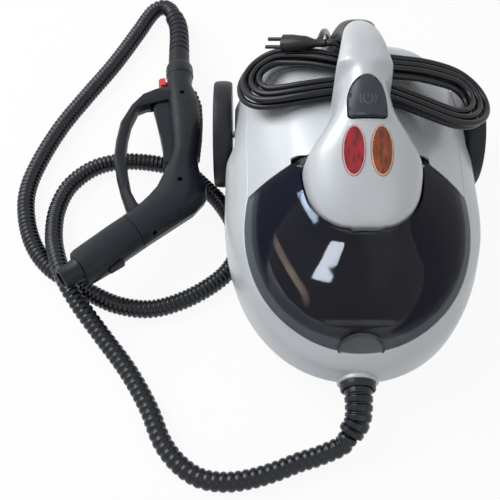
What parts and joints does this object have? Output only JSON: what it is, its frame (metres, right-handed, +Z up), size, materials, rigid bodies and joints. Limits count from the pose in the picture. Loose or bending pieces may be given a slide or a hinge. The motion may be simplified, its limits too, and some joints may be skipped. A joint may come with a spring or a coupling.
{
  "type": "canister steam cleaner",
  "caption": "Floor-standing canister steam cleaner: rounded shell on wheels and a castor, smoked hood over the filler cap, carry handle, wound mains cord, ribbed hose and a hand gun.",
  "frame": {"origin": "on the floor, under the middle of the box round the machine and the gun, without the hose and the mains cord", "axes": "+Z up, +Y to the machine's rear with the wheels and the wound cord, -Y to its front with the hose outlet, +X to the machine's right seen from the front, away from the gun"},
  "size_m": [0.513, 0.6347, 0.2451],
  "materials": {
    "pearl_shell": "pearl light blue-grey, satin gloss",
    "smoked_hood": "smoked transparent, high gloss",
    "black_plastic": "black, fine texture",
    "hose_black": "black, glossy ribs",
    "charcoal_plastic": "charcoal, fine texture",
    "dark_liner": "dark inner moulding",
    "grey_plastic": "grey, satin",
    "wheel_plastic": "dark grey, satin",
    "soft_rubber": "matte soft rubber",
    "cord_black": "black cord jacket, satin gloss",
    "steel": "plain steel",
    "cast_aluminium": "cast",
    "brass": "turned",
    "silicone_tube": "peach silicone",
    "white_plastic": "white, satin",
    "circuit_board": "green board",
    "lamp_glass": "clear",
    "lens_red": "clear red, polished",
    "lens_amber": "clear amber, polished",
    "red_plastic": "red, satin"
  },
  "bodies": {
    "machine": {"lower_shell": "pearl_shell", "upper_shell": "pearl_shell", "base_pan": "black_plastic", "spine_cover": "pearl_shell", "handle_grip": "black_plastic", "control_plate": "dark_liner", "control_board": "circuit_board", "power_switch": "white_plastic", "lamp_red": "lamp_glass", "lamp_amber": "lamp_glass", "lens_red": "lens_red", "lens_amber": "lens_amber", "bulkhead": "dark_liner", "inner_cover": "dark_liner", "steam_tube": "silicone_tube", "terminal_block": "white_plastic", "boiler_lower": "cast_aluminium", "boiler_upper": "cast_aluminium", "heater": "steel", "outlet_pipe": "brass", "rear_axle": "steel", "axle_block_left": "grey_plastic", "axle_block_right": "grey_plastic", "hinge_pin_left": "steel", "hinge_pin_right": "steel", "hose_collar": "pearl_shell", "hose_gland": "hose_black", "steam_hose": "hose_black", "cord_gland": "black_plastic", "cord_lead": "cord_black", "cord_hank": "cord_black", "plug": "black_plastic", "gun_shell_lower": "charcoal_plastic", "gun_shell_upper": "charcoal_plastic", "gun_collar": "charcoal_plastic", "gun_relief": "charcoal_plastic", "grip_pad": "soft_rubber", "nozzle_sleeve": "charcoal_plastic", "nozzle": "charcoal_plastic", "steam_jet": "brass", "steam_valve": "brass", "trigger_pin": "steel"},
    "wheel_left": {"wheel_left": "wheel_plastic", "tyre_left": "soft_rubber", "hubcap_left": "wheel_plastic"},
    "wheel_right": {"wheel_right": "wheel_plastic", "tyre_right": "soft_rubber", "hubcap_right": "wheel_plastic"},
    "castor": {"castor_fork": "grey_plastic", "castor_pin": "steel"},
    "castor_roller": {"castor_wheel": "soft_rubber"},
    "hood": {"hood": "smoked_hood", "hood_tab": "grey_plastic"},
    "cap_core": {"cap_insert": "brass"},
    "filler_cap": {"filler_cap": "black_plastic"},
    "power_button": {"power_button": "black_plastic"},
    "trigger": {"trigger": "charcoal_plastic"},
    "trigger_lock": {"trigger_lock": "red_plastic"},
    "sleeve_latch": {"sleeve_latch": "charcoal_plastic"}
  },
  "joints": [
    {"name": "wheel_left_spin", "type": "hinge", "parent": "machine", "child": "wheel_left", "pos_m": [-0.0451, 0.06, 0.059], "axis": [1, 0, 0], "continuous": true},
    {"name": "wheel_right_spin", "type": "hinge", "parent": "machine", "child": "wheel_right", "pos_m": [0.2039, 0.06, 0.059], "axis": [1, 0, 0], "continuous": true},
    {"name": "castor_swivel", "type": "hinge", "parent": "machine", "child": "castor", "pos_m": [0.0794, -0.155, 0], "axis": [0, 0, 1], "continuous": true},
    {"name": "castor_roll", "type": "hinge", "parent": "castor", "child": "castor_roller", "pos_m": [0.0794, -0.147, 0.014], "axis": [1, 0, 0], "continuous": true},
    {"name": "hood_hinge", "type": "hinge", "parent": "machine", "child": "hood", "pos_m": [0.0794, -0.057, 0.162], "axis": [-1, 0, 0], "range_deg": [0, 70]},
    {"name": "cap_lift", "type": "slide", "parent": "machine", "child": "cap_core", "axis": [0, 0, 1], "range_m": [0, 0.0075]},
    {"name": "cap_turn", "type": "hinge", "parent": "cap_core", "child": "filler_cap", "pos_m": [0.0974, -0.153, 0.088], "axis": [0, 0, 1], "range_deg": [0, 900]},
    {"name": "button_press", "type": "slide", "parent": "machine", "child": "power_button", "axis": [0, 0.3827, -0.9239], "range_m": [0, 0.0028], "stiffness_N_per_m": 500, "springref_m": -0.003},
    {"name": "trigger_pull", "type": "hinge", "parent": "machine", "child": "trigger", "pos_m": [-0.12696, 0.12658, 0.03296], "axis": [0.057, 0.0818, 0.995], "range_deg": [0, 6], "stiffness_Nm_per_rad": 1, "springref_deg": -11.46},
    {"name": "lock_slide", "type": "slide", "parent": "machine", "child": "trigger_lock", "axis": [-0.0744, 0.9942, -0.0774], "range_m": [0, 0.004]},
    {"name": "latch_press", "type": "slide", "parent": "machine", "child": "sleeve_latch", "axis": [-0.6252, 0.7799, -0.0283], "range_m": [0, 0.0022], "stiffness_N_per_m": 500, "springref_m": -0.003}
  ],
  "couplings": [
    {"joint": "cap_turn", "follows": "cap_lift", "rad_per_m": 2094.4}
  ]
}
